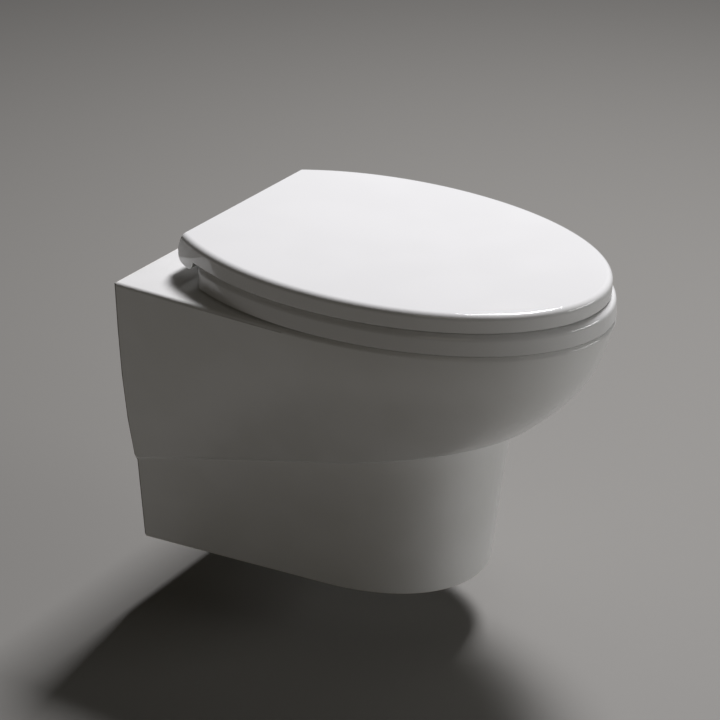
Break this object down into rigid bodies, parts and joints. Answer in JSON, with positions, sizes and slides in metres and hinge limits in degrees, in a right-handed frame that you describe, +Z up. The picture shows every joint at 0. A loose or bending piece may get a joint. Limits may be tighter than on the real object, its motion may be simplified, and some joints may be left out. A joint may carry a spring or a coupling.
{
  "type": "wall hung toilet",
  "caption": "Wall hung toilet: tapered glazed china pan with a flat deck, rounded nose and stepped-in lower body, and a seat ring and lid on soft-close hinges.",
  "frame": {"origin": "midway between the two wall fixings, on the finished wall", "axes": "+Y into the wall, -Y out into the room, +Z up, +X to the sitter's left"},
  "size_m": [0.3598, 0.5334, 0.4025],
  "materials": {
    "china": "gloss",
    "pad_foam": "matt",
    "seat_plastic": "gloss",
    "lid_plastic": "gloss",
    "sleeve_plastic": "matt",
    "buffer_rubber": "matt",
    "damper_plastic": "matt",
    "chrome": "polished",
    "steel": "satin",
    "gasket_rubber": "matt",
    "nut_plastic": "matt"
  },
  "bodies": {
    "pan": {"pan": "china", "rear_wall": "china", "bowl": "china", "trap": "china", "outlet_spigot": "china", "flush_inlet": "china", "wall_pad": "pad_foam", "fixing_sleeve_left": "sleeve_plastic", "fixing_sleeve_right": "sleeve_plastic", "hinge_pillar_left": "chrome", "hinge_pillar_right": "chrome", "hinge_pin_left": "steel", "hinge_pin_right": "steel", "grub_screw_left": "steel", "grub_screw_right": "steel", "hinge_rose_left": "chrome", "hinge_rose_right": "chrome", "rose_gasket_left": "gasket_rubber", "rose_gasket_right": "gasket_rubber", "seat_stud_left": "steel", "seat_stud_right": "steel", "cone_bush_left": "gasket_rubber", "cone_bush_right": "gasket_rubber", "stud_washer_left": "steel", "stud_washer_right": "steel", "wing_nut_left": "nut_plastic", "wing_nut_right": "nut_plastic"},
    "seat": {"seat_ring": "seat_plastic", "seat_damper_left": "damper_plastic", "seat_damper_right": "damper_plastic", "seat_buffer_front_left": "buffer_rubber", "seat_buffer_front_right": "buffer_rubber", "seat_buffer_rear_left": "buffer_rubber", "seat_buffer_rear_right": "buffer_rubber"},
    "lid": {"lid": "lid_plastic", "lid_damper_left": "damper_plastic", "lid_damper_right": "damper_plastic", "lid_buffer_left": "buffer_rubber", "lid_buffer_right": "buffer_rubber"}
  },
  "joints": [
    {"name": "seat_hinge", "type": "hinge", "parent": "pan", "child": "seat", "pos_m": [0, -0.0565, 0.11], "axis": [-1, 0, 0], "range_deg": [0, 94]},
    {"name": "lid_hinge", "type": "hinge", "parent": "seat", "child": "lid", "pos_m": [0, -0.0565, 0.11], "axis": [-1, 0, 0], "range_deg": [0, 94]}
  ]
}
